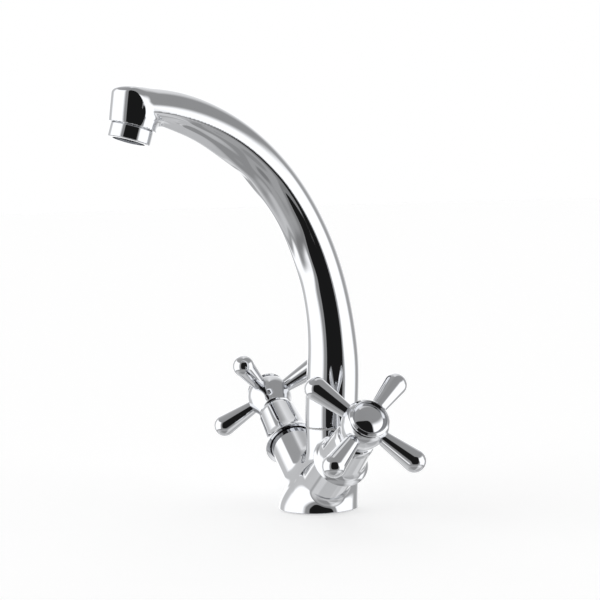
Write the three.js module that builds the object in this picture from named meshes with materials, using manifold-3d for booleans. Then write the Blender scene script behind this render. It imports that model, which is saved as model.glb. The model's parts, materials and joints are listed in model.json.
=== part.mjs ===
// Two-handle basin mixer with a high arched swivel spout, in millimetres.
// Origin: centre of the base circle on the deck. +Z up, spout towards -Y, handles on +X and -X.
import * as THREE from 'three';
import { mergeVertices } from 'three/addons/utils/BufferGeometryUtils.js';
import Module from 'manifold-3d';

const wasm = await Module();
wasm.setup();

// ---- driving dimensions ----
const GAP = 0.3; // running clearance between neighbouring pieces
const BASE_R = 23.05;
const COLUMN_R = 15.4;
const COLUMN_Y = 9.75; // the column stands behind the centre of the base
const FLARE_TOP = 34; // height at which the flared foot has become the column
const JOINT_Z = 47.1; // seam between body and spout
const SPIGOT_R = 11;
const SPIGOT_BOTTOM = 24;
const SOCKET_FLOOR = 18.5;

const SPOUT_TURN = THREE.MathUtils.degToRad(3.75); // the spout rests turned a little towards +X
const SPOUT_WALL = 2.4;
const OUTLET_REACH = 117.15; // column axis to outlet centre
const OUTLET_Z = 223.25;
const OUTLET_TILT = THREE.MathUtils.degToRad(17);
const HEAD_R = 13.5;
const HEAD_BORE_R = 11.3;
const AERATOR_R = 12.15;
const AERATOR_DROP = 8.2; // how far the aerator shows below the spout head

const VALVE_RISE = THREE.MathUtils.degToRad(33.9); // valve axes above the horizontal
const HUB_X = 75.5;
const HUB_Y = -0.9;
const HUB_Z = 57.4;
const ARM_R = 13;
const NECK_R = 11.2;
const HUB_R = 13.4;
const CAP_R = 11.5;
const SPOKE_CENTRE = 33.2; // hub centre to the centre of a spoke's ball end
const SPOKE_BALL_R = 6.65;
const SPOKE_ROOT_R = 4.3;
const SPOKES = 4;

// positions along a valve axis, measured outwards from the hub centre
const ARM_ROOT = -83; // inside the foot, just above the deck
const ARM_SHOULDER = -45;
const NECK_TOP = -38;
const BORE_FLOOR = -62;
const BARREL_END = -58; // inner end of the headwork
const SEAT_END = -80;

// waterways and fixings in the body
const BORE_R = 8.6; // headwork bore
const SEAT_R = 3.2;
const INLET_R = 4.3;
const INLET_X = 9.5;
const INLET_DEPTH = 12.5;
const STUD_R = 3.4;
const STUD_Y = 11.5;
const STUD_DEPTH = 12;
const GRUB_R = 2.1; // hole for the screw that keeps the spout in
const GRUB_Z = 31;
const SEAL_GROOVE = [18.3, 21, 1.8]; // inner and outer radius, depth
const SPIGOT_BORE_R = 7.8;

// ---- materials ----
const metal = (colour, roughness) =>
  new THREE.MeshStandardMaterial({ color: colour, roughness, metalness: 1 });
const matte = (colour, roughness) =>
  new THREE.MeshStandardMaterial({ color: colour, roughness, metalness: 0 });
const chrome = () => metal(0xd8dadd, 0.05);
const brass = () => metal(0xc9a55c, 0.35);
const steel = () => metal(0xa9abad, 0.3);
const rubber = () => matte(0x1c1c1e, 0.8);
const ceramic = () => matte(0xe9e6de, 0.35);
const plastic = (colour) => matte(colour, 0.5);

// ---- geometry helpers ----
// Closed geometry to a manifold solid; triangles that shrink to a line at a pole are dropped.
function solid(geometry) {
  const bare = geometry.clone();
  bare.deleteAttribute('normal');
  bare.deleteAttribute('uv');
  const merged = mergeVertices(bare, 1e-4);
  const index = [];
  for (let i = 0; i < merged.index.count; i += 3) {
    const [a, b, c] = [0, 1, 2].map((k) => merged.index.getX(i + k));
    if (a !== b && b !== c && c !== a) index.push(a, b, c);
  }
  return new wasm.Manifold(new wasm.Mesh({
    numProp: 3,
    vertProperties: new Float32Array(merged.attributes.position.array),
    triVerts: new Uint32Array(index),
  }));
}

function geometryOf(body) {
  const mesh = body.getMesh();
  const geometry = new THREE.BufferGeometry();
  geometry.setAttribute('position', new THREE.BufferAttribute(mesh.vertProperties, 3));
  geometry.setIndex(new THREE.BufferAttribute(mesh.triVerts, 1));
  geometry.computeVertexNormals();
  return geometry;
}

const cut = (body, ...tools) => tools.reduce((rest, tool) => rest.subtract(tool), body);
const join = (body, ...others) => others.reduce((sum, other) => sum.add(other), body);

// Solid of revolution about Z. Profile points are [radius, height], outer side from the bottom up.
function turned(profile, segments = 20) {
  const points = profile.map(([r, z]) => new THREE.Vector2(r, z));
  return new THREE.LatheGeometry(points, segments).rotateX(Math.PI / 2);
}

const rod = (r, z0, z1, segments = 16) => turned([[0, z0], [r, z0], [r, z1], [0, z1]], segments);
const ring = (inner, outer, z0, z1, segments = 20) =>
  turned([[inner, z0], [outer, z0], [outer, z1], [inner, z1], [inner, z0]], segments);

// O-ring of round section about Z.
function toroid(centreR, sectionR, z, sides = 6, segments = 14) {
  const profile = [];
  for (let i = 0; i <= sides; i++) {
    const angle = (2 * Math.PI * (i % sides)) / sides;
    profile.push([centreR - sectionR * Math.cos(angle), z - sectionR * Math.sin(angle)]);
  }
  return turned(profile, segments);
}

const hexagon = (acrossFlats, z0, z1) =>
  new THREE.CylinderGeometry(acrossFlats / Math.sqrt(3), acrossFlats / Math.sqrt(3), z1 - z0, 6)
    .rotateX(Math.PI / 2).translate(0, 0, (z0 + z1) / 2);

// Plate of a flat outline between two heights.
const plate = (shape, z0, z1, curveSegments = 8) =>
  new THREE.ExtrudeGeometry(shape, { depth: z1 - z0, bevelEnabled: false, curveSegments })
    .translate(0, 0, z0);

// Straight round bar between two points.
function bar(from, to, r, segments = 16) {
  const along = to.clone().sub(from);
  const turn = new THREE.Quaternion().setFromUnitVectors(
    new THREE.Vector3(0, 0, 1), along.clone().normalize());
  return rod(r, 0, along.length(), segments).applyQuaternion(turn).translate(...from);
}

// Unit cylinder whose rings are laid out by section(t): centre, across and up vectors, and how
// square the lower half is.
function skin(section, radial, rings) {
  const geometry = new THREE.CylinderGeometry(1, 1, 1, radial, rings);
  const position = geometry.attributes.position;
  for (let i = 0; i < position.count; i++) {
    const { centre, across, up, square } = section(position.getY(i) + 0.5);
    const [x, z] = [position.getX(i), position.getZ(i)];
    const size = Math.hypot(x, z);
    const power = z < 0 ? 2 / square : 1;
    const soft = (v) => (size > 0 ? Math.sign(v) * Math.abs(v / size) ** power * size : 0);
    const point = centre.clone().addScaledVector(across, soft(x)).addScaledVector(up, soft(z));
    position.setXYZ(i, point.x, point.y, point.z);
  }
  return geometry;
}

const assembly = new THREE.Group();

function add(parent, name, body, material) {
  const mesh = new THREE.Mesh(geometryOf(body), material);
  mesh.name = name;
  parent.add(mesh);
}

// ---- valve frames ----
const SIDES = [
  { name: 'left', sign: -1, spin: THREE.MathUtils.degToRad(50.2) },
  { name: 'right', sign: 1, spin: THREE.MathUtils.degToRad(43.5) },
];

// Places a valve's own frame: origin at the hub centre, Z outwards along the spindle.
function valveMatrix({ sign }) {
  const axis = new THREE.Vector3(sign * Math.cos(VALVE_RISE), 0, Math.sin(VALVE_RISE));
  const first = new THREE.Vector3(0, 1, 0);
  const second = axis.clone().cross(first);
  return new THREE.Matrix4().makeBasis(first, second, axis).setPosition(sign * HUB_X, HUB_Y, HUB_Z);
}

// ---- body casting ----
function bodyCore() {
  const top = JOINT_Z - 2 * GAP;
  return skin((t) => {
    const z = t * top;
    const blend = THREE.MathUtils.smoothstep(z, 0, FLARE_TOP);
    const r = THREE.MathUtils.lerp(BASE_R, COLUMN_R, blend);
    return {
      centre: new THREE.Vector3(0, COLUMN_Y * blend, z),
      across: new THREE.Vector3(0, r, 0),
      up: new THREE.Vector3(r, 0, 0),
      square: 2,
    };
  }, 28, 9);
}

const ARM_PROFILE = [
  [0, ARM_ROOT], [ARM_R, ARM_ROOT], [ARM_R, ARM_SHOULDER], [NECK_R, ARM_SHOULDER], [NECK_R, NECK_TOP],
  [0, NECK_TOP],
];
const bodyArm = (side) => turned(ARM_PROFILE, 24).applyMatrix4(valveMatrix(side));

// Bore for the headwork, its seat hole, the inlet port below it and the way across to the column.
function valveWaterway(side) {
  const bore = rod(BORE_R, BORE_FLOOR, NECK_TOP + 1, 20);
  const seat = rod(SEAT_R, SEAT_END, BORE_FLOOR + 1, 12);
  const inlet = rod(INLET_R, -1, INLET_DEPTH, 14).translate(side.sign * INLET_X, 0, 0);
  const from = new THREE.Vector3(side.sign * 29, 5, 27);
  const to = new THREE.Vector3(0, COLUMN_Y + 3, 22.5);
  return join(
    solid(bore.applyMatrix4(valveMatrix(side))),
    solid(seat.applyMatrix4(valveMatrix(side))),
    solid(inlet),
    solid(bar(from, to, 2.6, 8)),
  );
}

// Point on the back of the column at the height of the retaining screw.
const behindColumn = (y) => new THREE.Vector3(0, COLUMN_Y + y, GRUB_Z);

function bodyCasting() {
  const socket = rod(SPIGOT_R + GAP, SOCKET_FLOOR, JOINT_Z + 1, 24).translate(0, COLUMN_Y, 0);
  const grub = bar(behindColumn(9), behindColumn(COLUMN_R + 5), GRUB_R, 10);
  const studs = [-1, 1].map((s) => solid(rod(STUD_R, -1, STUD_DEPTH, 12).translate(0, s * STUD_Y, 0)));
  const [inner, outer, depth] = SEAL_GROOVE;
  return cut(
    join(solid(bodyCore()), ...SIDES.map((side) => solid(bodyArm(side)))),
    ...SIDES.map(valveWaterway),
    solid(socket),
    solid(grub),
    ...studs,
    solid(ring(inner, outer, -1, depth, 28)),
  );
}

add(assembly, 'body_casting', bodyCasting(), chrome());

function baseSeal() {
  const [inner, outer, depth] = SEAL_GROOVE;
  return solid(ring(inner + GAP, outer - GAP, 0, depth - GAP, 28));
}
add(assembly, 'base_seal', baseSeal(), rubber());

// ---- spout, in its own frame: origin under the column axis, forward along -Y ----
const spout = new THREE.Group();
spout.position.y = COLUMN_Y;
spout.rotation.z = SPOUT_TURN;
assembly.add(spout);

const inPlane = (forward, z) => new THREE.Vector3(0, -forward, z);
const SPOUT_BOTTOM = JOINT_Z + 2 * GAP;
const RISER = new THREE.CubicBezierCurve3(
  inPlane(0, SPOUT_BOTTOM), inPlane(0, 62), inPlane(-2.2, 78), inPlane(-1.7, 93.5));
const ARCH = new THREE.CubicBezierCurve3(
  inPlane(-1.7, 93.5), inPlane(0.5, 169.2), inPlane(46.7, 226.7), inPlane(108.9, 235.5));
const centreline = new THREE.CurvePath();
centreline.add(RISER);
centreline.add(ARCH);

// Half width and half thickness at fractions of the centreline's length.
const WIDTH_AT = [[0, 15.4], [0.13, 15.2], [0.24, 13.9], [0.45, 12.9], [0.75, 12.8], [1, 13.2]];
const THICK_AT = [[0, 15.4], [0.13, 15.1], [0.24, 13.8], [0.45, 12.6], [0.78, 12], [0.9, 11], [1, 9.4]];
const SQUARE_AT = [[0, 2], [0.3, 2.1], [0.6, 2.6], [1, 3]];

function lookUp(table, t) {
  const next = Math.max(1, table.findIndex(([at]) => at >= t));
  const [[a, u], [b, v]] = [table[next - 1], table[next]];
  return THREE.MathUtils.lerp(u, v, THREE.MathUtils.clamp((t - a) / (b - a), 0, 1));
}

function spoutSection(t, inset) {
  const along = centreline.getTangentAt(t);
  const across = new THREE.Vector3(1, 0, 0);
  const up = across.clone().cross(along);
  return {
    centre: centreline.getPointAt(t),
    across: across.multiplyScalar(lookUp(WIDTH_AT, t) - inset),
    up: up.multiplyScalar(lookUp(THICK_AT, t) - inset),
    square: lookUp(SQUARE_AT, t),
  };
}

// Frame of the outlet: origin at the centre of the head's lower rim, Z up into the head.
const outletMatrix = new THREE.Matrix4()
  .makeRotationX(-OUTLET_TILT)
  .setPosition(inPlane(OUTLET_REACH, OUTLET_Z));
const atOutlet = (geometry) => solid(geometry.applyMatrix4(outletMatrix));

const GROOVES = [[25.4, 27.9], [29.8, 32.2], [36.6, 39.1]]; // seal, retaining screw, seal

function spigot() {
  const [lower, retaining, upper] = GROOVES;
  const profile = [
    [SPIGOT_BORE_R, SPIGOT_BOTTOM], [SPIGOT_R - 0.6, SPIGOT_BOTTOM], [SPIGOT_R, SPIGOT_BOTTOM + 0.6],
  ];
  for (const [[low, high], floor] of [[lower, 9], [retaining, 9.6], [upper, 9]]) {
    profile.push([SPIGOT_R, low], [floor, low], [floor, high], [SPIGOT_R, high]);
  }
  profile.push([SPIGOT_R, 50], [SPIGOT_BORE_R, 50], [SPIGOT_BORE_R, SPIGOT_BOTTOM]);
  return turned(profile, 20);
}

// Rings of the head from its oblique lower rim to its nearly level rounded top: [height, inset].
const HEAD_RINGS = [[0, 0], [0.45, 0], [0.86, 0], [0.925, 0.35], [0.975, 1.2], [1, 2.6]];
const HEAD_TOP = inPlane(114, 245.3);
const HEAD_TOP_TILT = THREE.MathUtils.degToRad(3.3);

function spoutHead() {
  const rim = inPlane(OUTLET_REACH, OUTLET_Z);
  return skin((t) => {
    const [height, inset] = HEAD_RINGS[Math.round(t * (HEAD_RINGS.length - 1))];
    const tilt = THREE.MathUtils.lerp(OUTLET_TILT, HEAD_TOP_TILT, height);
    const r = HEAD_R - inset;
    return {
      centre: rim.clone().lerp(HEAD_TOP, height),
      across: new THREE.Vector3(r, 0, 0),
      up: new THREE.Vector3(0, -r * Math.cos(tilt), r * Math.sin(tilt)),
      square: 2,
    };
  }, 24, HEAD_RINGS.length - 1);
}

const OUTLET_BORE_PROFILE = [[0, -1], [HEAD_BORE_R, -1], [HEAD_BORE_R, 8.1], [9, 8.1], [9, 16], [0, 16]];

function spoutTube() {
  const outside = solid(skin((t) => spoutSection(t, 0), 22, 24));
  const inside = solid(skin((t) => spoutSection(t * 0.97, SPOUT_WALL), 12, 14));
  const entry = rod(SPIGOT_BORE_R, SPIGOT_BOTTOM - 1, 52, 20);
  const bridge = rod(9, 40, 49, 16); // joins the spigot to the tube's foot
  return cut(
    join(outside, solid(spoutHead()), solid(spigot()), solid(bridge)),
    inside,
    atOutlet(turned(OUTLET_BORE_PROFILE)),
    solid(entry),
  );
}

add(spout, 'spout_tube', spoutTube(), chrome());
for (const [name, [low, high]] of [['lower', GROOVES[0]], ['upper', GROOVES[2]]]) {
  add(spout, `spout_o_ring_${name}`, solid(toroid(10.15, 0.82, (low + high) / 2)), rubber());
}

const AERATOR_PROFILE = [
  [9.2, -AERATOR_DROP], [AERATOR_R - 0.5, -AERATOR_DROP], [AERATOR_R, -AERATOR_DROP + 0.5],
  [AERATOR_R, -GAP], [HEAD_BORE_R - GAP, -GAP], [HEAD_BORE_R - GAP, 6], [9.9, 6], [9.9, -6.6], [9.2, -6.6],
  [9.2, -AERATOR_DROP],
];

// Round sieve plate of the aerator with rings of small water holes.
function aeratorInsert() {
  const face = new THREE.Shape().absarc(0, 0, 9.6, 0, 2 * Math.PI);
  for (const [count, at] of [[1, 0], [6, 5.6]]) {
    for (let i = 0; i < count; i++) {
      const angle = (2 * Math.PI * i) / count;
      const hole = new THREE.Path();
      hole.absarc(at * Math.cos(angle), at * Math.sin(angle), 1.9, 0, 2 * Math.PI);
      face.holes.push(hole);
    }
  }
  return plate(face, -6.3, 4, 4);
}

add(spout, 'aerator_housing', atOutlet(turned(AERATOR_PROFILE)), chrome());
add(spout, 'aerator_insert', atOutlet(aeratorInsert()), plastic(0x8a8c90));
add(spout, 'aerator_gasket', atOutlet(ring(8, 10.8, 6.3, 7.8)), rubber());

// ---- swivel joint pieces held by the body ----
add(assembly, 'spout_glide_ring',
  solid(ring(SPIGOT_R + GAP, COLUMN_R - 0.4, JOINT_Z - GAP, JOINT_Z + GAP).translate(0, COLUMN_Y, 0)),
  plastic(0xe8e8e4));

function retainingScrew() {
  const end = COLUMN_R - 0.8;
  const shank = solid(bar(behindColumn(10.1), behindColumn(end), 1.1, 10));
  const thread = solid(bar(behindColumn(SPIGOT_R + GAP), behindColumn(end), GRUB_R - GAP, 12));
  const key = solid(hexagon(1.6, 0, 1.6).rotateX(-Math.PI / 2).translate(...behindColumn(end - 1.2)));
  return cut(join(shank, thread), key);
}
add(assembly, 'spout_retaining_screw', retainingScrew(), steel());

// ---- valve pieces, each in the valve's frame ----
const SKIRT_PROFILE = [
  [11.5, -44.7], [15.8, -44.7], [16.3, -44.1], [15.4, -42.7], [13.8, -40.8], [13, -38.6],
  [11.7, -18], [11.1, -16], [9.4, -14.6], [6.8, -14.6], [6.8, -18], [9.8, -18], [9.8, -36.4],
  [11.5, -37.5], [11.5, -44.7],
];

const HEADWORK_PROFILE = [
  [6.6, BARREL_END], [7.4, BARREL_END], [7.4, -46], [BORE_R - GAP, -46], [BORE_R - GAP, -35], [6.5, -33],
  [6.5, -15], [4.4, -15], [4.4, -47.6], [6.6, -47.6], [6.6, BARREL_END],
];

function headworkHousing() {
  const shell = turned(HEADWORK_PROFILE, 16);
  const flange = cut(solid(hexagon(16, NECK_TOP + GAP, -32.4)), solid(rod(7, -39, -30)));
  const window = solid(new THREE.BoxGeometry(5.2, 20, 4.6).translate(0, 0, -51.2));
  return cut(join(solid(shell), flange), window);
}

// Star outline of the serrated end of the spindle.
function serration(outer, inner, teeth) {
  const shape = new THREE.Shape();
  for (let i = 0; i < 2 * teeth; i++) {
    const [r, angle] = [i % 2 ? inner : outer, (Math.PI * i) / teeth];
    shape[i ? 'lineTo' : 'moveTo'](r * Math.cos(angle), r * Math.sin(angle));
  }
  return shape.closePath();
}

const SPINDLE_PROFILE = [
  [0, -51.2], [6.2, -51.2], [6.2, -48], [4, -48], [4, -30.2], [3, -30.2], [3, -27.8], [4, -27.8], [4, -12],
  [0, -12],
];

function spindle() {
  const shaft = turned(SPINDLE_PROFILE, 14);
  const splines = plate(serration(4, 3.5, 12), -12.5, 1.5);
  const tang = new THREE.BoxGeometry(8.6, 2.2, 2).translate(0, 0, -51.9);
  return cut(join(solid(shaft), solid(splines), solid(tang)), solid(rod(2.2, -7, 3, 10)));
}

// Ceramic disc with two opposite water sectors centred on the given angle.
function sectorDisc(r, z0, z1, centre) {
  const shape = new THREE.Shape().absarc(0, 0, r, 0, 2 * Math.PI);
  for (const middle of [centre, centre + Math.PI]) {
    const hole = new THREE.Path();
    const half = 0.6;
    hole.absarc(0, 0, 4.9, middle - half, middle + half);
    hole.absarc(0, 0, 2.2, middle + half, middle - half, true);
    hole.closePath();
    shape.holes.push(hole);
  }
  return plate(shape, z0, z1, 8);
}

function movingDisc() {
  const slot = solid(new THREE.BoxGeometry(9.2, 2.8, 2).translate(0, 0, -52.2));
  return cut(solid(sectorDisc(6.2, -54.2, -51.5, Math.PI / 2)), slot);
}

const HUB_PROFILE = [
  [0, -14.2], [9.6, -14.2], [10.3, -13.4], [11.2, -10], [12.8, -5.5], [HUB_R, -1], [HUB_R, 1.2],
  [12.8, 4.2], [11.2, 6.2], [10.4, 6.8], [0, 6.8],
];

// Quarter-turn directions of the four spokes in the plane across the spindle.
const spokeTurn = (k, spin) => new THREE.Matrix4()
  .makeRotationZ(spin + (k * 2 * Math.PI) / SPOKES)
  .multiply(new THREE.Matrix4().makeRotationY(Math.PI / 2));

const SPOKE_SEAT = 12.7;

const TENON_R = 3;

const SPOKE_SOCKET_PROFILE = [
  [0, 8], [TENON_R + GAP, 8], [TENON_R + GAP, SPOKE_SEAT], [SPOKE_ROOT_R + GAP, SPOKE_SEAT],
  [SPOKE_ROOT_R + GAP, 15], [0, 15],
];
// Spindle hole from below, screw hole, and the recess for the cap from above.
const HUB_BORE_PROFILE = [
  [0, -15], [4.3, -15], [4.3, 2], [2.2, 2], [2.2, 4.2], [9.5, 4.2], [9.5, 8], [0, 8],
];

function handleHub(spin) {
  const sockets = Array.from({ length: SPOKES }, (_, k) =>
    solid(turned(SPOKE_SOCKET_PROFILE, 12).applyMatrix4(spokeTurn(k, spin))));
  return cut(solid(turned(HUB_PROFILE, 24)), solid(turned(HUB_BORE_PROFILE, 18)), ...sockets);
}

// Club-shaped spoke: tenon, crisp root, cone and ball end, along Z from the hub centre.
function spoke() {
  const profile = [
    [0, 8.3], [TENON_R, 8.3], [TENON_R, SPOKE_SEAT + GAP], [SPOKE_ROOT_R - 0.25, SPOKE_SEAT + GAP],
    [SPOKE_ROOT_R, SPOKE_SEAT + GAP + 0.3],
  ];
  const steps = 5;
  const tangent = THREE.MathUtils.degToRad(6.8); // where the cone runs into the ball
  for (let i = 0; i <= steps; i++) {
    const angle = -tangent + ((Math.PI / 2 + tangent) * i) / steps;
    const r = i === steps ? 0 : SPOKE_BALL_R * Math.cos(angle);
    profile.push([r, SPOKE_CENTRE + SPOKE_BALL_R * Math.sin(angle)]);
  }
  return turned(profile, 12);
}

const CAP_PROFILE = [
  [7.6, 5], [9.2, 5], [9.2, 7.1], [CAP_R - 0.3, 7.1], [CAP_R, 7.5], [CAP_R, 8.7], [CAP_R - 0.5, 9.2],
  [CAP_R - 1.9, 9], [7, 9.7], [0, 10], [0, 8], [7.6, 7.6], [7.6, 5],
];

function handleScrew() {
  const screw = turned([[0, -4], [1.9, -4], [1.9, 4.5], [3.6, 4.5], [3.6, 6.4], [3.2, 6.7], [0, 6.7]], 12);
  return cut(solid(screw), solid(hexagon(2.6, 5.2, 8)));
}

for (const side of SIDES) {
  const valve = new THREE.Group();
  valve.applyMatrix4(valveMatrix(side));
  assembly.add(valve);
  const named = (piece) => `${side.name}_${piece}`;
  add(valve, named('skirt'), solid(turned(SKIRT_PROFILE, 24)), chrome());
  add(valve, named('headwork_housing'), headworkHousing(), brass());
  add(valve, named('spindle'), spindle(), brass());
  add(valve, named('spindle_o_ring'), solid(toroid(3.75, 0.38, -29)), rubber());
  add(valve, named('ceramic_disc_moving'), movingDisc(), ceramic());
  add(valve, named('ceramic_disc_fixed'), solid(sectorDisc(6.3, -57.4, -54.5, 0)), ceramic());
  add(valve, named('seat_seal'), solid(ring(3.6, 6.2, -61.7, -57.7)), rubber());
  add(valve, named('handle_hub'), handleHub(side.spin), chrome());
  for (let k = 0; k < SPOKES; k++) {
    add(valve, named(`spoke_${k + 1}`), solid(spoke().applyMatrix4(spokeTurn(k, side.spin))), chrome());
  }
  add(valve, named('handle_cap'), solid(turned(CAP_PROFILE)), chrome());
  add(valve, named('handle_screw'), handleScrew(), steel());
}

export default assembly;
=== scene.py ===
"""Looks for the two-handle basin mixer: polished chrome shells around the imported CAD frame.

Lengths are millimetres until a mesh is written. Origin at the base, +Z up, spout towards -Y.
The two castings are meshed from smooth distance fields, so that their parts run into each other
with fillets, and the round pieces are turned from rounded outlines. The normals come from the
fields and the outlines themselves.
"""
import json
import math

import bpy
import numpy as np
from mathutils import Matrix, Vector


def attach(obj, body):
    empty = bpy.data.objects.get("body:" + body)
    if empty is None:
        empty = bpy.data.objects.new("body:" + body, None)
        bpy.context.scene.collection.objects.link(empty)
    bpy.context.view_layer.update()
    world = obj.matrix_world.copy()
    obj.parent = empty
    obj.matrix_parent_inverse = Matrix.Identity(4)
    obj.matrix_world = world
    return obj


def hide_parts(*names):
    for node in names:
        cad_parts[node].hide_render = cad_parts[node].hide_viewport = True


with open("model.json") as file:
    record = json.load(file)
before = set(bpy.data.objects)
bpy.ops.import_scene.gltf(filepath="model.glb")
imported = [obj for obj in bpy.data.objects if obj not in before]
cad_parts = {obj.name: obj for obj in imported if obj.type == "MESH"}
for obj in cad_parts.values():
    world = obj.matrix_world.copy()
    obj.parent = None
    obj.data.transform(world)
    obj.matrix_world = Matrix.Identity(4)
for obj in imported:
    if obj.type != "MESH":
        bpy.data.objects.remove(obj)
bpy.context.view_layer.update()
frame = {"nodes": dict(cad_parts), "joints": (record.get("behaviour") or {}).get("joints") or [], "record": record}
MM = 0.001

# ---- driving dimensions ----
BASE_R = 23.05
COLUMN_R = 15.4
FLARE_TOP = 34
SEAM = (46.9, 47.3)  # top of the body and foot of the spout
SOCKET_R, SOCKET_FLOOR = 11.3, 18.5
SPIGOT_R, SPIGOT_BORE_R, SPIGOT_BOTTOM = 11, 7.8, 24
SPOUT_TURN = math.radians(3.75)
SPOUT_WALL = 2.4
OUTLET = (117.15, 223.25)  # reach and height of the outlet rim's centre
OUTLET_TILT = math.radians(17)
HEAD_TOP = (114, 245.27)
HEAD_TOP_TILT = math.radians(3.3)
HEAD_R = 13.5
ARM_R, ARM_ROOT, ARM_SHOULDER = 13, -83, -42.4
NECK_R, NECK_TOP, BORE_R, BORE_FLOOR = 11.2, -38, 8.6, -62
INLET_X, INLET_R, INLET_TOP = 9.5, 4.3, 12.5
STUD_Y, STUD_R, STUD_TOP = 11.5, 3.4, 12
SEAL_GROOVE, SEAL_GROOVE_TOP = (18.3, 21), 1.8
SCREW_HEIGHT, SCREW_R = 31, 2.1
SPIGOT_GROOVES, GROOVE_R = ((25.4, 27.9), (29.8, 32.2), (36.6, 39.1)), 9.1  # screw groove in the middle
MOUTH_R, MOUTH_DEPTH = 11.3, 8.1
BELOW, ABOVE = -5, 60  # heights safely past the deck and past the seam, for cuts that run out
SPOKE_CENTRE, SPOKE_BALL_R, SPOKE_ROOT_R = 33.18, 6.6, 4.3
SPOKE_TAPER = math.radians(6.8)
SPIN = {"left": math.radians(50.2), "right": math.radians(43.5)}

JOINTS = {j["name"]: j for j in frame["joints"]}
COLUMN_Y = JOINTS["spout_swivel"]["pos_m"][1] / MM


# ---- frames taken from the joints ----
def valve_frame(side):
    """Matrix of a valve: origin at the hub's centre, Z outwards along the spindle."""
    joint = JOINTS[f"{side}_handle_turn"]
    axis = Vector(joint["axis"])
    if axis.z < 0:
        axis = -axis
    first = Vector((0, 1, 0))
    second = axis.cross(first)
    turn = Matrix((first, second, axis)).transposed().to_4x4()
    return Matrix.Translation(Vector(joint["pos_m"]) / MM) @ turn


def spout_frame():
    """Matrix of the spout: origin where the column's axis meets the deck, forward along -Y."""
    return Matrix.Translation((0, COLUMN_Y, 0)) @ Matrix.Rotation(SPOUT_TURN, 4, "Z")


def outlet_frame():
    """Matrix of the aerator: origin at the outlet rim's centre, Z up into the head."""
    reach, height = OUTLET
    return (spout_frame() @ Matrix.Translation((0, -reach, height))
            @ Matrix.Rotation(-OUTLET_TILT, 4, "X"))


# ---- distance fields ----
def smooth_union(a, b, blend):
    """The nearer of two fields, with a fillet of about that size where they meet."""
    share = np.clip(0.5 + 0.5 * (b - a) / blend, 0, 1)
    return b + share * (a - b) - blend * share * (1 - share)


def round_cut(a, b, radius):
    """What lies inside both fields, with the edge between them rounded to that radius."""
    inner = np.minimum(np.maximum(a, b), -radius)
    return inner + np.hypot(np.maximum(a + radius, 0), np.maximum(b + radius, 0))


def smoothstep(x, low, high):
    """Rises smoothly from 0 at low to 1 at high."""
    t = np.clip((x - low) / (high - low), 0, 1)
    return t * t * (3 - 2 * t)


def between(v, low, high):
    """Field of the slab between two values."""
    return np.maximum(low - v, v - high)


def upright_rod(x, y, z, centre, radius, low, high):
    """Field of an upright cylinder."""
    return np.maximum(np.hypot(x - centre[0], y - centre[1]) - radius, between(z, low, high))


# ---- body casting ----
def foot_and_column(x, y, z):
    """Circles that shrink and step back as they rise, scaled to nearly a true distance."""
    height = np.clip(z / FLARE_TOP, 0, 1)
    blend = smoothstep(z, 0, FLARE_TOP)
    slope = 6 * height * (1 - height) / FLARE_TOP
    centre = COLUMN_Y * blend
    from_axis = np.hypot(x, y - centre)
    radius = BASE_R + (COLUMN_R - BASE_R) * blend
    lean = slope * ((BASE_R - COLUMN_R) - COLUMN_Y * (y - centre) / np.maximum(from_axis, 1))
    return (from_axis - radius) / np.sqrt(1 + lean * lean)


def valve_coordinates(side, x, y, z):
    """Distance from a valve's axis, and position along it."""
    to_valve = np.array(valve_frame(side).inverted())
    u, v, d = (row[0] * x + row[1] * y + row[2] * z + row[3] for row in to_valve[:3])
    return np.hypot(u, v), d


def body_holes(x, y, z):
    """Socket, seal groove, hole for the retaining screw, inlets and stud holes."""
    holes = [upright_rod(x, y, z, (0, COLUMN_Y), SOCKET_R, SOCKET_FLOOR, ABOVE)]
    holes.append(np.maximum(between(np.hypot(x, y), *SEAL_GROOVE), z - SEAL_GROOVE_TOP))
    holes.append(np.maximum(np.hypot(x, z - SCREW_HEIGHT) - SCREW_R, COLUMN_Y + 8 - y))
    for way in (-1, 1):
        holes.append(upright_rod(x, y, z, (way * INLET_X, 0), INLET_R, BELOW, INLET_TOP))
        holes.append(upright_rod(x, y, z, (0, way * STUD_Y), STUD_R, BELOW, STUD_TOP))
    return holes


def body_field(x, y, z):
    """Foot, column, arms and the necks the skirts sit on, with everything bored out of them."""
    solid = foot_and_column(x, y, z)
    holes = body_holes(x, y, z)
    for side in SPIN:
        r, d = valve_coordinates(side, x, y, z)
        arm = round_cut(r - ARM_R, between(d, ARM_ROOT, ARM_SHOULDER), 0.5)
        solid = smooth_union(solid, arm, 5)
        neck = round_cut(r - NECK_R, between(d, ARM_ROOT, NECK_TOP), 0.4)
        solid = smooth_union(solid, neck, 0.6)
        holes.append(np.maximum(r - BORE_R, BORE_FLOOR - d))
    solid = round_cut(solid, between(z, 0, SEAM[0]), 0.35)
    for hole in holes:
        solid = round_cut(solid, -hole, 0.25)
    return solid


# ---- spout ----
def bezier(points, count):
    """That many points along a cubic curve."""
    t = np.linspace(0, 1, count)[:, None]
    a, b, c, d = (np.array(p, float) for p in points)
    return (1 - t)**3 * a + 3 * (1 - t)**2 * t * b + 3 * (1 - t) * t**2 * c + t**3 * d


def smooth_table(knots, at):
    """Smooth curve through (fraction, value) knots, read at the given fractions."""
    x, y = np.array(knots, float).T
    slope = np.gradient(y, x)
    i = np.clip(np.searchsorted(x, at) - 1, 0, len(x) - 2)
    width = x[i + 1] - x[i]
    t = np.clip((at - x[i]) / width, 0, 1)
    return ((1 + 2 * t) * (1 - t)**2 * y[i] + t * (1 - t)**2 * width * slope[i]
            + t * t * (3 - 2 * t) * y[i + 1] + t * t * (t - 1) * width * slope[i + 1])


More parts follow.
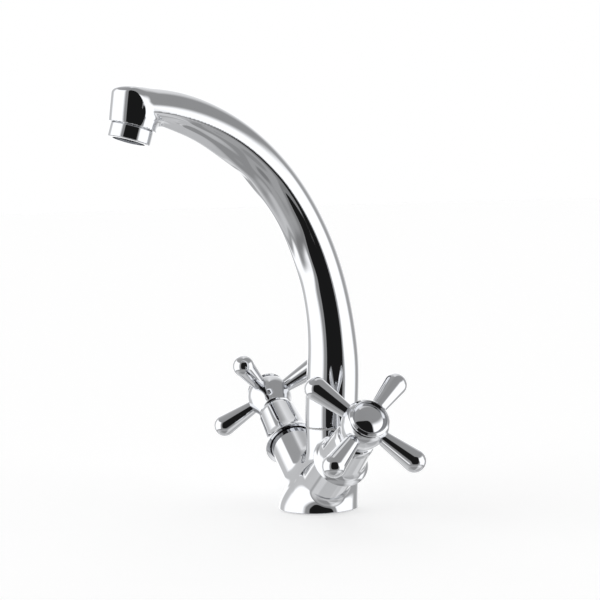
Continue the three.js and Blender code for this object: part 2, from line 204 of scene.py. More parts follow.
class Centreline:
    """The spout's curve in its own plane, as (reach, height), with its sections along it."""

    RISER = ((0, 47.7), (0, 62), (-2.2, 78), (-1.7, 93.5))
    ARCH = ((-1.7, 93.5), (0.5, 169.2), (46.7, 226.7), (108.9, 235.5))
    INTO_HEAD = ((108.9, 235.5), (111, 235.75), (113, 235.8), (115.5, 235.8))
    HALF_WIDTH = ((0, 15.4), (0.13, 15.2), (0.24, 13.9), (0.45, 12.85), (0.75, 12.7), (1, 13.3))
    HALF_DEPTH = ((0, 15.4), (0.13, 15.1), (0.24, 13.8), (0.45, 12.6), (0.78, 12), (0.9, 10.8),
                  (1, 8.7))
    # how far the widest line, which becomes the crease, lies under the curve
    DROP = ((0, 0), (0.6, 0), (0.75, 1.2), (0.88, 3.2), (1, 4.5))
    # power of the lower half: 2 is an oval, 1 nearly a parabola, which leaves a crease on each side
    UNDERSIDE = ((0, 2), (0.25, 1.95), (0.4, 1.5), (0.52, 1.15), (0.8, 1.1), (0.92, 1.2), (1, 2))

    CELL = 4.0  # of the coarse grid that a search starts from
    GRID = ((-24, 140), (16, 256))
    SKIP = 10  # every how many points of the curve it looks at
    ROUNDS = 5  # of drawing closer along the curve

    def __init__(self):
        parts = ((self.RISER, 400), (self.ARCH, 1600), (self.INTO_HEAD, 60))
        curve = np.vstack([bezier(points, count)[1:] for points, count in parts])
        steps = np.hypot(*np.diff(curve, axis=0).T)
        self.s = np.concatenate([[0], np.cumsum(steps)])
        self.length = self.s[-1]
        self.point = curve
        tangent = np.gradient(curve, self.s, axis=0)
        self.tangent = tangent / np.hypot(*tangent.T)[:, None]
        share = self.s / self.length
        self.width = smooth_table(self.HALF_WIDTH, share)
        self.depth = smooth_table(self.HALF_DEPTH, share)
        self.drop = np.maximum(smooth_table(self.DROP, share), 0)
        self.power = np.maximum(smooth_table(self.UNDERSIDE, share), 1)
        axes = [np.arange(low, high, self.CELL) for low, high in self.GRID]
        gap = np.stack(np.meshgrid(*axes, indexing="ij"), -1)[:, :, None] - curve[::self.SKIP]
        self.guess = self.s[::self.SKIP][np.hypot(gap[..., 0], gap[..., 1]).argmin(-1)]

    def at(self, table, s):
        """Value of one of the tables at a length along the curve."""
        return np.interp(s, self.s, table)

    def nearest(self, reach, height):
        """Length along the curve nearest to each point, and the point's distance above the curve."""
        cell = []
        for value, (low, _), count in zip((reach, height), self.GRID, self.guess.shape):
            cell.append(np.clip(np.rint((value - low) / self.CELL).astype(int), 0, count - 1))
        s = self.guess[tuple(cell)]
        for _ in range(self.ROUNDS):
            along = ((reach - self.at(self.point[:, 0], s)) * self.at(self.tangent[:, 0], s)
                     + (height - self.at(self.point[:, 1], s)) * self.at(self.tangent[:, 1], s))
            s = np.clip(s + along, 0, self.length)
        dx, dz = reach - self.at(self.point[:, 0], s), height - self.at(self.point[:, 1], s)
        return s, dz * self.at(self.tangent[:, 0], s) - dx * self.at(self.tangent[:, 1], s)

    def past_end(self, reach, height):
        """Distance beyond the plane across the curve's end."""
        outward, end = self.tangent[-1], self.point[-1]
        return outward[0] * (reach - end[0]) + outward[1] * (height - end[1])


CENTRELINE = Centreline()
CREASE_SOFTNESS = 0.09  # share of the half depth that a crease of power 1 is rounded over
LEAST_SLOPE = 0.05  # keeps the distance finite where the section has no slope

WAVE_HEIGHT = 0.28
WAVES_START, WAVES_STOP = (0.3, 0.45), (0.93, 0.97)  # shares of the curve they fade in and out over
# strength, radians for each radian round the tube and for each mm along it, phase, meander
WAVES = ((1, 5.1, 0.05, 0, 1.3), (0.6, 11.3, -0.083, 2, 0), (0.4, 3, 0.16, 0, 0))
MEANDER_RATE = 0.075

HEAD_BLEND, MORE_UNDER, MORE_OVER = 1.2, 3.8, 2  # fillet of spout and head, more below and above
SHOULDER_R, MORE_AT_BACK = 3.4, 9.6
HOLLOW_FROM, HOLLOW_SHARE = 50, 0.94  # height it starts at, and share of the curve it ends at


def tube_section(x, rise, s, inset):
    """Oval section, creased where its two halves meet, as nearly a distance."""
    drop = CENTRELINE.at(CENTRELINE.drop, s)
    upper = rise > -drop
    a = CENTRELINE.at(CENTRELINE.width, s) - inset
    b = CENTRELINE.at(CENTRELINE.depth, s) + np.where(upper, drop, -drop) - inset
    power = np.where(upper, 2.0, CENTRELINE.at(CENTRELINE.power, s))
    soft = 0.001 + CREASE_SOFTNESS * (2 - power)
    u, w = np.abs(x) / a, np.hypot(rise + drop, soft * b) / b
    v = np.maximum((w - soft) / (np.hypot(1, soft) - soft), 1e-6)
    steep = np.hypot(2 * u / a, power * v**(power - 1) / b)
    return (u**2 + v**power - 1) / np.maximum(steep, LEAST_SLOPE)


def polishing_waves(x, rise, s):
    """Shallow lengthwise waves left by hand polishing on the arch's underside."""
    share = s / CENTRELINE.length
    below = -rise - CENTRELINE.at(CENTRELINE.drop, s)
    fade = smoothstep(share, *WAVES_START) * (1 - smoothstep(share, *WAVES_STOP))
    across = np.arctan2(x, -rise)
    drift = np.sin(MEANDER_RATE * s)
    wave = 0
    for strength, turns, rate, phase, meander in WAVES:
        wave = wave + strength * np.sin(turns * across + rate * s + phase + meander * drift)
    return WAVE_HEIGHT * smoothstep(below, 1, 4) * fade * wave


def head_forward(reach, height):
    """Forward position in the head's circles, whose slant changes from the rim to the top."""
    (low_reach, low_height), (high_reach, high_height) = OUTLET, HEAD_TOP
    tall = high_height - low_height
    share = (height - low_height) / tall
    for _ in range(6):
        tilt = OUTLET_TILT + (HEAD_TOP_TILT - OUTLET_TILT) * share
        out = reach - low_reach - share * (high_reach - low_reach)
        up = height - low_height - share * tall
        share = share + (np.cos(tilt) * up - np.sin(tilt) * out) / tall
    out = reach - low_reach - share * (high_reach - low_reach)
    up = height - low_height - share * tall
    return np.cos(tilt) * out + np.sin(tilt) * up


def plane(reach, height, through, tilt):
    """Height above a plane that slopes up and forward."""
    return -math.sin(tilt) * (reach - through[0]) + math.cos(tilt) * (height - through[1])


def head_field(x, reach, height):
    """Short leaning drum. Its shoulder is much rounder at the back, where the spout runs in."""
    forward = head_forward(reach, height)
    side = np.hypot(x, forward) - HEAD_R
    top = plane(reach, height, HEAD_TOP, HEAD_TOP_TILT)
    rim = -plane(reach, height, OUTLET, OUTLET_TILT)
    shoulder = SHOULDER_R + MORE_AT_BACK * (1 - smoothstep(forward, -8, 8))
    return round_cut(round_cut(side, top, shoulder), rim, 0.25)


def spout_spaces(x, rise, s, reach, z):
    """The inside of the tube, its entry through the spigot, and the mouth that takes the aerator."""
    ends = np.maximum(HOLLOW_FROM - z, s - HOLLOW_SHARE * CENTRELINE.length)
    hollow = np.maximum(tube_section(x, rise, s, SPOUT_WALL), ends)
    entry = upright_rod(x, -reach, z, (0, 0), SPIGOT_BORE_R, 0, HOLLOW_FROM + 4)
    above = plane(reach, z, OUTLET, OUTLET_TILT)
    forward = math.cos(OUTLET_TILT) * (reach - OUTLET[0]) + math.sin(OUTLET_TILT) * (z - OUTLET[1])
    mouth = np.maximum(np.hypot(x, forward) - MOUTH_R, above - MOUTH_DEPTH)
    return hollow, entry, mouth


def spout_field(x, y, z):
    """Tube, head and spigot, hollowed."""
    reach = -y
    s, rise = CENTRELINE.nearest(reach, z)
    tube = tube_section(x, rise, s, 0) + polishing_waves(x, rise, s)
    tube = round_cut(round_cut(tube, SEAM[1] - z, 0.3), CENTRELINE.past_end(reach, z), 2)
    head = head_field(x, reach, z)
    under = 1 - smoothstep(rise, -9, -3)
    over = smoothstep(rise, 1, 8)
    solid = smooth_union(tube, head, HEAD_BLEND + MORE_UNDER * under + MORE_OVER * over)
    spigot = upright_rod(x, y, z, (0, 0), SPIGOT_R, SPIGOT_BOTTOM, HOLLOW_FROM)
    for low, high in SPIGOT_GROOVES:
        spigot = np.maximum(spigot, -np.maximum(GROOVE_R - np.hypot(x, y), between(z, low, high)))
    solid = np.minimum(solid, spigot)
    for space in spout_spaces(x, rise, s, reach, z):
        solid = round_cut(solid, -space, 0.2)
    return solid


# ---- aerator insert ----
SIEVE_R, SIEVE_BOTTOM, SIEVE_TOP = 9.6, -6.3, 4
HOLE_RINGS = ((1, 0), (6, 3.1), (12, 6.1))  # number of holes, radius of their ring
HOLE_R, HOLE_TOP = 0.95, 3
RIM_GROOVE_R, RIM_GROOVE_HALF, RIM_GROOVE_TOP = 8.2, 0.35, -5.6


def sieve_field(x, y, z):
    """Round plate with rings of water holes and a groove inside its rim."""
    disc = round_cut(np.hypot(x, y) - SIEVE_R, between(z, SIEVE_BOTTOM, SIEVE_TOP), 0.3)
    for count, at in HOLE_RINGS:
        for k in range(count):
            angle = 2 * math.pi * k / count
            hole = np.hypot(x - at * math.cos(angle), y - at * math.sin(angle)) - HOLE_R
            disc = round_cut(disc, -np.maximum(hole, z - HOLE_TOP), 0.2)
    groove = np.maximum(np.abs(np.hypot(x, y) - RIM_GROOVE_R) - RIM_GROOVE_HALF, z - RIM_GROOVE_TOP)
    return round_cut(disc, -groove, 0.15)


# ---- meshing ----
def crossed_edges(value, axis, stride):
    """Where the grid's edges along an axis cross zero, the four cells round each, and the quads."""
    near = [slice(None)] * 3
    far = [slice(None)] * 3
    near[axis], far[axis] = slice(0, -1), slice(1, None)
    a, b = value[tuple(near)], value[tuple(far)]
    at = np.argwhere((a < 0) != (b < 0))
    a, b = a[tuple(at.T)], b[tuple(at.T)]
    point = at.astype(float)
    point[:, axis] += a / (a - b)
    u, v = np.eye(3, dtype=int)[[(axis + 1) % 3, (axis + 2) % 3]]
    around = [(at - offset) @ stride for offset in (0 * u, u, u + v, v)]
    loop = np.stack(around, 1)
    return point, around, np.where((a < 0)[:, None], loop, loop[:, ::-1])


def surface_net(field, low, high, step):
    """Quads around field = 0: one point in every crossed cell, joined across every crossed edge."""
    axes = [np.arange(a, b + step, step) for a, b in zip(low, high)]
    value = np.ascontiguousarray(field(*np.meshgrid(*axes, indexing="ij", sparse=True)))
    cells = np.array(value.shape) - 1
    stride = np.array((cells[1] * cells[2], cells[2], 1))
    corner_ids, corner_points, loops = [], [], []
    for axis in range(3):
        point, around, loop = crossed_edges(value, axis, stride)
        corner_ids += around
        corner_points += [point] * 4
        loops.append(loop)
    ids, inverse = np.unique(np.concatenate(corner_ids), return_inverse=True)
    points = np.concatenate(corner_points)
    count = np.bincount(inverse)
    mean = np.stack([np.bincount(inverse, points[:, k]) / count for k in range(3)], 1)
    vertices = np.array(low, float) + mean * step
    faces = np.searchsorted(ids, np.concatenate(loops))
    return settle(field, vertices, step), faces


GRADIENT_STEP = 0.02
MOST_MOVE = 0.7  # of a cell, in one round


def gradient(field, points):
    """Slope of the field along x, y and z."""
    steps = GRADIENT_STEP * np.eye(3)
    sides = [field(*(points + step).T) - field(*(points - step).T) for step in steps]
    return np.stack(sides, -1) / (2 * GRADIENT_STEP)


def settle(field, points, step):
    """Moves points onto the surface in three short rounds."""
    for _ in range(3):
        slope = gradient(field, points)
        move = slope * (field(*points.T) / np.maximum((slope**2).sum(1), 1e-3))[:, None]
        far = np.maximum(np.linalg.norm(move, axis=1) / (MOST_MOVE * step), 1)
        points = points - move / far[:, None]
    return points


def corner_arc(before, corner, after, wanted, steps):
    """Points and normals round a corner. The radius is the wanted one, or what there is room for."""
    incoming, outgoing = corner - before, after - corner
    room = 0.49 * min(np.hypot(*incoming), np.hypot(*outgoing))
    incoming, outgoing = incoming / np.hypot(*incoming), outgoing / np.hypot(*outgoing)
    turn = math.atan2(incoming[0] * outgoing[1] - incoming[1] * outgoing[0], incoming @ outgoing)
    reach = min(wanted * math.tan(abs(turn) / 2), room)
    radius = math.copysign(reach / math.tan(abs(turn) / 2), turn)
    start = np.array((incoming[1], -incoming[0]))
    centre = corner - incoming * reach - start * radius
    arc = []
    for t in np.linspace(0, turn, steps + 1):
        c, s = math.cos(t), math.sin(t)
        normal = np.array((c * start[0] - s * start[1], s * start[0] + c * start[1]))
        arc.append((centre + normal * radius, normal))
    return arc


def rounded(outline, steps):
    """Points and normals of an outline of (r, z, radius) corners, and whether it is a ring's."""
    corners = [np.array(corner[:2], float) for corner in outline]
    closed = outline[0][0] > 0
    line = []
    for i, corner in enumerate(corners):
        before, after = corners[i - 1], corners[(i + 1) % len(corners)]
        if closed or 0 < i < len(corners) - 1:
            line += corner_arc(before, corner, after, outline[i][2], steps)
        else:
            run = after - corner if i == 0 else corner - before
            run = run / np.hypot(*run)
            line.append((corner, np.array((run[1], -run[0]))))
    points, normals = zip(*line)
    return np.array(points), np.array(normals), closed


def lathe(outline, segments=112, steps=6):
    """Vertices, normals and faces of a turned piece about Z."""
    profile, slope, closed = rounded(outline, steps)
    angle = 2 * np.pi * np.arange(segments) / segments
    ring = np.stack([np.cos(angle), np.sin(angle), 0 * angle], 1)
    vertices, normals, rows = [], [], []
    for (r, z), (nr, nz) in zip(profile, slope):
        start = sum(len(v) for v in vertices)
        if r < 1e-6:
            vertices.append(np.array([[0, 0, z]]))
            normals.append(np.array([[0, 0, math.copysign(1, nz)]]))
            rows.append([start] * segments)
        else:
            vertices.append(ring * r + (0, 0, z))
            normals.append(ring * nr + (0, 0, nz))
            rows.append([start + k for k in range(segments)])
    faces = []
    for low, high in zip(rows, rows[1:] + ([rows[0]] if closed else [])):
        for k in range(segments):
            face = (low[k], low[(k + 1) % segments], high[(k + 1) % segments], high[k])
            faces.append(tuple(dict.fromkeys(face)))
    return np.vstack(vertices), np.vstack(normals), faces


def piece(name, geometry, matrix, body, replaced, material):
    """Blender object from (vertices, normals, faces) in millimetres in the frame of the matrix."""
    vertices, normals, faces = geometry
    turn = np.array(matrix.to_3x3())
    placed = vertices @ turn.T + np.array(matrix.translation)
    mesh = bpy.data.meshes.new(name)
    mesh.from_pydata(placed * MM, [], faces)
    mesh.shade_smooth()
    mesh.normals_split_custom_set_from_vertices(normals @ turn.T)
    mesh.materials.append(material)
    obj = bpy.data.objects.new(name, mesh)
    bpy.context.scene.collection.objects.link(obj)
    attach(obj, body)
    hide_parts(replaced)
    return obj


def cast(field, low, high, step):
    """Vertices, normals and faces of a field's surface inside a box."""
    vertices, faces = surface_net(field, low, high, step)
    slope = gradient(field, vertices)
    normals = slope / np.maximum(np.linalg.norm(slope, axis=1), 1e-6)[:, None]
    return vertices, normals, faces.tolist()


# ---- outlines of the turned pieces: (radius, height along the axis, corner radius) ----
SOFT = 20  # a corner radius limited only by the room between its neighbours

SKIRT = (
    (15.9, -44.7, 0.3), (16.3, -44.2, 0.5), (15.3, -42.5, SOFT), (13.75, -40.6, SOFT),
    (12.95, -37.6, SOFT), (11.75, -18.5, 1), (11.1, -15.9, SOFT), (9.4, -14.6, 1),
    (6.8, -14.6, 0.2), (6.8, -18, 0.2), (9.8, -18, 0.2), (9.8, -36.4, 0.2),
    (11.5, -37, 0.2), (11.5, -40.6, 0.2), (13.4, -40.9, 0.3), (13.7, -44.1, 0.3),
)
HUB = (
    (0, -14.2, 0), (9.6, -14.2, 0.3), (10.35, -13.3, SOFT), (11.2, -10, SOFT), (12.75, -5.5, SOFT),
    (13.4, -1.2, SOFT), (13.4, 1.2, SOFT), (12.75, 4.3, SOFT), (11.3, 6.3, SOFT),
    (10.4, 6.9, 0.3), (0, 6.9, 0),
)
CAP_TOP, DOME_EDGE_R, DOME_R = 10, 9.2, 17.9


def dome():
    """Points over the cap's domed face, from its edge to the axis."""
    radii = np.linspace(DOME_EDGE_R, 0, 9)
    return tuple((r, CAP_TOP - DOME_R + math.sqrt(DOME_R**2 - r**2), SOFT) for r in radii[:-1])


CAP = (
    (0, 5.6, 0), (7.6, 5.6, 0.2), (9.2, 5, 0.2), (9.2, 7.1, 0.2), (11.1, 7.1, 0.3), (11.5, 7.5, 0.3),
    (11.5, 8, 1), (10.15, 9.35, 1), (9.7, 9.3, 0.3), (9.4, 7.4, 0.2), *dome(), (0, CAP_TOP, 0),
)
AERATOR = (
    (9.2, -8.2, 0.15), (11.65, -8.2, 0.3), (12.15, -7.7, 0.4), (12.15, -0.75, 0.2), (11.85, -0.3, 0.2),
    (11, -0.3, 0.1), (11, 6, 0.2), (9.9, 6, 0.2), (9.9, -6.6, 0.2), (9.2, -6.9, 0.2),
)
GLIDE_RING = ((11.3, 46.92, 0.05), (15.15, 46.92, 0.08), (15.15, 47.28, 0.08), (11.3, 47.28, 0.05))


def spoke_outline():
    """Root, cone and ball end of a spoke, along its own Z from the hub's centre."""
    outline = [(0, 8.3, 0), (3, 8.3, 0.2), (3, 12.2, 0.1), (SPOKE_ROOT_R - 0.15, 12.4, 0.2)]
    for angle in np.linspace(-SPOKE_TAPER, math.pi / 2, 16)[:-1]:
        height = SPOKE_CENTRE + SPOKE_BALL_R * math.sin(angle)
        outline.append((SPOKE_BALL_R * math.cos(angle), height, SOFT))
    outline.append((0, SPOKE_CENTRE + SPOKE_BALL_R, 0))
    return outline


# ---- materials ----
def node_material(name, colours, roughness, metallic=0.0, bump=0.02, grain=900.0):
    """Mottled colour, uneven roughness and a fine bump, all from noise fixed to the piece."""
    material = bpy.data.materials.new(name)
    material.use_nodes = True
    nodes, links = material.node_tree.nodes, material.node_tree.links
    shader = nodes["Principled BSDF"]
    shader.inputs["Metallic"].default_value = metallic
    place = nodes.new("ShaderNodeTexCoord")
    coarse = noise(nodes, links, place, grain / 12, 3)
    fine = noise(nodes, links, place, grain, 4)
    colour = nodes.new("ShaderNodeMix")
    colour.data_type = "RGBA"
    colour.inputs["A"].default_value = (*colours[0], 1)
    colour.inputs["B"].default_value = (*colours[1], 1)
    links.new(coarse.outputs["Fac"], colour.inputs["Factor"])
    links.new(colour.outputs["Result"], shader.inputs["Base Color"])
    rough = nodes.new("ShaderNodeMapRange")
    rough.inputs["To Min"].default_value, rough.inputs["To Max"].default_value = roughness
    links.new(fine.outputs["Fac"], rough.inputs["Value"])
    links.new(rough.outputs["Result"], shader.inputs["Roughness"])
    relief = nodes.new("ShaderNodeBump")
    relief.inputs["Strength"].default_value = 1
    relief.inputs["Distance"].default_value = bump * MM
    links.new(fine.outputs["Fac"], relief.inputs["Height"])
    links.new(relief.outputs["Normal"], shader.inputs["Normal"])
    return material


def noise(nodes, links, place, scale, detail):
    """Noise texture in the piece's own coordinates."""
    texture = nodes.new("ShaderNodeTexNoise")
    texture.inputs["Scale"].default_value = scale
    texture.inputs["Detail"].default_value = detail
    links.new(place.outputs["Object"], texture.inputs["Vector"])
    return texture


CHROME_TINTS = ((0.80, 0.81, 0.83), (0.75, 0.76, 0.785))
RIPPLE_SCALE, RIPPLE_HEIGHT = 60, 0.02


def chrome_material():
    """Mirror chrome: a faint tint drift, fine polishing marks and a slow ripple in the surface."""
    material = node_material("polished_chrome", CHROME_TINTS, (0.02, 0.07), 1.0, 0.0001, 1400)
    nodes, links = material.node_tree.nodes, material.node_tree.links
    fine = nodes["Bump"]
    ripple = noise(nodes, links, nodes["Texture Coordinate"], RIPPLE_SCALE, 1)
    slow = nodes.new("ShaderNodeBump")
    slow.inputs["Strength"].default_value = 1
    slow.inputs["Distance"].default_value = RIPPLE_HEIGHT * MM
    links.new(ripple.outputs["Fac"], slow.inputs["Height"])
    links.new(slow.outputs["Normal"], fine.inputs["Normal"])
    return material


CHROME = chrome_material()
BRASS = ((0.62, 0.43, 0.16), (0.74, 0.54, 0.24))
STEEL = ((0.52, 0.53, 0.54), (0.62, 0.63, 0.64))
RUBBER = ((0.012, 0.012, 0.013), (0.03, 0.03, 0.032))
CERAMIC = ((0.78, 0.76, 0.70), (0.88, 0.86, 0.81))
WHITE = ((0.75, 0.75, 0.73), (0.86, 0.86, 0.84))
GREY = ((0.22, 0.23, 0.25), (0.32, 0.33, 0.35))
FINISHES = {
    "brass": node_material("turned_brass", BRASS, (0.22, 0.42), 1.0, 0.01),
    "steel": node_material("satin_steel", STEEL, (0.2, 0.4), 1.0, 0.008),
    "rubber": node_material("black_rubber", RUBBER, (0.55, 0.8)),
    "ceramic": node_material("lapped_ceramic", CERAMIC, (0.25, 0.4), bump=0.004),
    "white_plastic": node_material("white_acetal", WHITE, (0.35, 0.5)),
    "grey_plastic": node_material("grey_plastic", GREY, (0.35, 0.55)),
}


def finish_cad_nodes():
    """Gives every CAD node that stays its procedural material, by the record's slots."""
    slots = {row["node"]: row["material_slot"] for row in frame["record"]["subparts"]}
    for name, obj in frame["nodes"].items():
        obj.data.materials.clear()
        obj.data.materials.append(FINISHES.get(slots[name], CHROME))


# ---- the pieces ----
def build_body():
    shell = cast(body_field, (-48, -25, -1.3), (48, 28, 48.5), 0.75)
    piece("body_shell", shell, Matrix(), "fixed", "body_casting", CHROME)
    place = Matrix.Translation((0, COLUMN_Y, 0))
    piece("glide_ring_edge", lathe(GLIDE_RING), place, "fixed", "spout_glide_ring",
          FINISHES["white_plastic"])


def build_spout():
    shell = cast(spout_field, (-17, -134, 22.5), (17, 18.5, 248), 0.75)
    piece("spout_shell", shell, spout_frame(), "spout", "spout_tube", CHROME)
    piece("aerator_ring", lathe(AERATOR), outlet_frame(), "spout", "aerator_housing", CHROME)
    sieve = cast(sieve_field, (-10.5, -10.5, -7.2), (10.5, 10.5, 5), 0.4)
    piece("aerator_sieve", sieve, outlet_frame(), "spout", "aerator_insert", FINISHES["grey_plastic"])


def build_valve(side):
    valve = valve_frame(side)
    handle = f"{side}_handle"
    piece(f"{side}_skirt_shell", lathe(SKIRT), valve, "fixed", f"{side}_skirt", CHROME)
    piece(f"{side}_hub_shell", lathe(HUB), valve, handle, f"{side}_handle_hub", CHROME)
    piece(f"{side}_cap_shell", lathe(CAP), valve, handle, f"{side}_handle_cap", CHROME)
    spoke = lathe(spoke_outline(), 72, 3)
    lay_flat = Matrix.Rotation(math.pi / 2, 4, "Y")
    for k in range(4):
        place = valve @ Matrix.Rotation(SPIN[side] + k * math.pi / 2, 4, "Z") @ lay_flat
        number = k + 1
        piece(f"{side}_spoke_shell_{number}", spoke, place, handle, f"{side}_spoke_{number}", CHROME)


# ---- studio ----
CAMERA_AZIMUTH, CAMERA_ELEVATION, CAMERA_ROLL = (math.radians(a) for a in (69.0423, 4.31675, -1.64893))
CAMERA_DISTANCE = 1182.67
CAMERA_TARGET = Vector((0.307, -8.033, 121.607))
LENS, SENSOR = 123.02, 36
# brightness of the tent by azimuth, at the panels' height, over them and under them, and by elevation
TENT_MIDDLE = (
    (-180, 1.2), (-153, 1.2), (-147, 0.6), (-124, 0.65), (-114, 1.3), (-50, 1.3), (-39, 0.32),
    (20, 0.3), (52, 0.36), (57, 1.3), (111, 1.3), (122, 0.42), (140, 0.42), (158, 0.95), (180, 1.2),
)
TENT_UPPER = (
    (-180, 0.9), (-150, 0.6), (-120, 0.4), (0, 0.33), (60, 0.34), (130, 0.34), (155, 0.8), (180, 0.9),
)
TENT_LOWER = (
    (-180, 0.7), (-130, 0.7), (-80, 0.55), (-50, 0.38), (32, 0.38), (50, 0.8), (75, 0.9), (105, 0.5),
    (180, 0.8),
)
FLOOR_BANDS = ((-90, 0.85), (-54, 0.85), (-50, 1.1), (-37, 1.1), (-33, 0.65), (0, 0.65))
PANEL_TOPS = (math.radians(37), math.radians(27))  # left of the camera and in front, and on its right
RIGHT_SIDE = (math.radians(36), math.radians(46))
PANEL_LEAN = math.radians(8)  # how much further left the right panel reaches above eye level
EYE_LEVEL = (math.radians(-6), math.radians(5))
PANEL_FOOT = math.radians(-28)
PANEL_BLUR = math.radians(3)
EXTRA_BLUR = math.radians(4)  # more for the right panel's top edge
CARD_MIDDLE = (math.radians(8), math.radians(9))  # azimuth and elevation
CARD_HALF_SIZE = (math.radians(36), math.radians(35))
CARD_SQUARENESS, CARD_EDGE = 4.0, (0.85, 1.15)
CARD_BLACK = (0.012, 0.012, 0.012, 1)
WHITE_BACKDROP = (1, 1, 1, 1)
FLOOR_R, FLOOR_HEIGHT, FLOOR_GLOW = 6.0, -0.0006, 0.5  # in metres


def camera_axes():
    """The camera's right, up and backward directions."""
    back = Vector((math.sin(CAMERA_AZIMUTH) * math.cos(CAMERA_ELEVATION),
                   -math.cos(CAMERA_AZIMUTH) * math.cos(CAMERA_ELEVATION), math.sin(CAMERA_ELEVATION)))
    right = Vector((0, 0, 1)).cross(back).normalized()
    up = back.cross(right)
    c, s = math.cos(CAMERA_ROLL), math.sin(CAMERA_ROLL)
    return c * right + s * up, c * up - s * right, back


def add_camera():
    right, up, back = camera_axes()
    data = bpy.data.cameras.new("camera")
    data.lens, data.sensor_width = LENS, SENSOR
    camera = bpy.data.objects.new("camera", data)
    turn = Matrix((right, up, back)).transposed().to_4x4()
    camera.matrix_world = Matrix.Translation((CAMERA_TARGET + back * CAMERA_DISTANCE) * MM) @ turn
    bpy.context.scene.collection.objects.link(camera)
    bpy.context.scene.camera = camera


class Graph:
    """Small helper for wiring shader nodes."""

    def __init__(self, tree):
        self.nodes, self.links = tree.nodes, tree.links

    def wire(self, socket, value):
        if isinstance(value, bpy.types.NodeSocket):
            self.links.new(value, socket)
        else:
            socket.default_value = value

    def math(self, operation, *values):
        node = self.nodes.new("ShaderNodeMath")
        node.operation = operation
        for socket, value in zip(node.inputs, values):
            self.wire(socket, value)
        return node.outputs[0]

    def dot(self, vector, direction):
        node = self.nodes.new("ShaderNodeVectorMath")
        node.operation = "DOT_PRODUCT"
        self.wire(node.inputs[0], vector)
        node.inputs[1].default_value = direction
        return node.outputs["Value"]

    def ramp(self, value, low, high, kind="SMOOTHSTEP"):
        """0 below low, 1 above high."""
        node = self.nodes.new("ShaderNodeMapRange")
        node.interpolation_type = kind
        self.wire(node.inputs["Value"], value)
        node.inputs["From Min"].default_value, node.inputs["From Max"].default_value = low, high
        return node.outputs["Result"]

    def mix(self, share, a, b):
        node = self.nodes.new("ShaderNodeMix")
        node.data_type = "RGBA"
        self.wire(node.inputs["Factor"], share)
        self.wire(node.inputs["A"], a)
        self.wire(node.inputs["B"], b)
        return node.outputs["Result"]


def brightness_by_angle(graph, angle, stops):
    """Brightness looked up by an angle, from (angle in degrees, brightness) stops in rising order."""
    ramp = graph.nodes.new("ShaderNodeValToRGB")
    ramp.color_ramp.interpolation = "LINEAR"
    elements = ramp.color_ramp.elements
    while len(elements) < len(stops):
        elements.new(0.5)
    for element, (place, brightness) in zip(elements, stops):
        element.position = (place + 180) / 360
        element.color = (brightness, brightness, brightness, 1)
    graph.wire(ramp.inputs["Fac"], graph.ramp(angle, -math.pi, math.pi, "LINEAR"))
    return ramp.outputs["Color"]


def tent_brightness(graph, azimuth, elevation):
    """Grey tent with white side panels and banded greys under them."""
    right = graph.ramp(azimuth, *RIGHT_SIDE)
    lean = graph.math("MULTIPLY", graph.ramp(elevation, *EYE_LEVEL), PANEL_LEAN)
    leaned = graph.math("MULTIPLY_ADD", right, lean, azimuth)
    middle = brightness_by_angle(graph, leaned, TENT_MIDDLE)
    upper = brightness_by_angle(graph, azimuth, TENT_UPPER)
    lower = brightness_by_angle(graph, azimuth, TENT_LOWER)
    lower = graph.math("MULTIPLY", lower, brightness_by_angle(graph, elevation, FLOOR_BANDS))
    top = graph.math("MULTIPLY_ADD", right, PANEL_TOPS[1] - PANEL_TOPS[0], PANEL_TOPS[0])
    blur = graph.math("MULTIPLY_ADD", right, EXTRA_BLUR, PANEL_BLUR)
    over = graph.ramp(graph.math("DIVIDE", graph.math("SUBTRACT", elevation, top), blur), -1, 1)
    under = graph.ramp(graph.math("SUBTRACT", PANEL_FOOT, elevation), -PANEL_BLUR, PANEL_BLUR)
    return graph.mix(under, graph.mix(over, middle, upper), lower)


def outside_card(graph, azimuth, elevation):
    """0 on the black card round the lens, 1 off it. The card is a rounded square."""
    terms = []
    for value, centre, half in zip((azimuth, elevation), CARD_MIDDLE, CARD_HALF_SIZE):
        offset = graph.math("MULTIPLY", graph.math("SUBTRACT", value, centre), 1 / half)
        terms.append(graph.math("POWER", graph.math("ABSOLUTE", offset), CARD_SQUARENESS))
    return graph.ramp(graph.math("ADD", *terms), *CARD_EDGE)


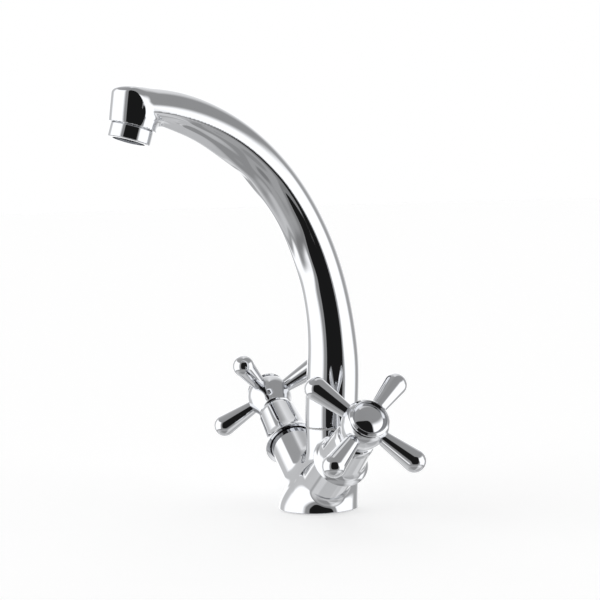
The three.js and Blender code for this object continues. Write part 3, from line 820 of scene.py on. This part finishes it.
def add_light_tent():
    """Lights the tap from a tent fixed in the world, and shows the camera a white backdrop.

    Azimuths are seen from the tap, 0 towards this script's camera and positive to its right.
    """
    world = bpy.data.worlds.new("light_tent")
    world.use_nodes = True
    bpy.context.scene.world = world
    graph = Graph(world.node_tree)
    direction = graph.nodes.new("ShaderNodeTexCoord").outputs["Generated"]
    facing = Vector((math.sin(CAMERA_AZIMUTH), -math.cos(CAMERA_AZIMUTH), 0))
    across = graph.dot(direction, Vector((0, 0, 1)).cross(facing))
    azimuth = graph.math("ARCTAN2", across, graph.dot(direction, facing))
    elevation = graph.math("ARCSINE", graph.dot(direction, (0, 0, 1)))
    tent = tent_brightness(graph, azimuth, elevation)
    colour = graph.mix(outside_card(graph, azimuth, elevation), CARD_BLACK, tent)
    seen = graph.nodes.new("ShaderNodeLightPath").outputs["Is Camera Ray"]
    shown = graph.mix(seen, colour, WHITE_BACKDROP)
    graph.wire(graph.nodes["Background"].inputs["Color"], shown)


def stage_disc(name, radius, z, material):
    """Flat disc that belongs to the studio."""
    mesh = bpy.data.meshes.new(name)
    angle = 2 * np.pi * np.arange(96) / 96
    ring = np.stack([radius * np.cos(angle), radius * np.sin(angle), 0 * angle + z], 1)
    mesh.from_pydata(ring, [], [list(range(96))])
    mesh.materials.append(material)
    disc = bpy.data.objects.new(name, mesh)
    bpy.context.scene.collection.objects.link(disc)
    return disc


def plain_surface(name, colour, glow):
    """Dull surface with a glow of its own, so that it stays white."""
    material = bpy.data.materials.new(name)
    material.use_nodes = True
    shader = material.node_tree.nodes["Principled BSDF"]
    shader.inputs["Base Color"].default_value = (*colour, 1)
    shader.inputs["Roughness"].default_value = 0.6
    shader.inputs["Specular IOR Level"].default_value = 0.0
    shader.inputs["Emission Color"].default_value = (1, 1, 1, 1)
    shader.inputs["Emission Strength"].default_value = glow
    return material


def add_floor():
    """A wide white floor, kept out of the chrome's reflections."""
    surface = plain_surface("white_floor", (0.9, 0.9, 0.9), FLOOR_GLOW)
    floor = stage_disc("floor", FLOOR_R, FLOOR_HEIGHT, surface)
    floor.visible_glossy = False


add_camera()
finish_cad_nodes()
build_body()
build_spout()
for hand in SPIN:
    build_valve(hand)
add_light_tent()
add_floor()
bpy.context.scene.view_settings.view_transform = "Standard"
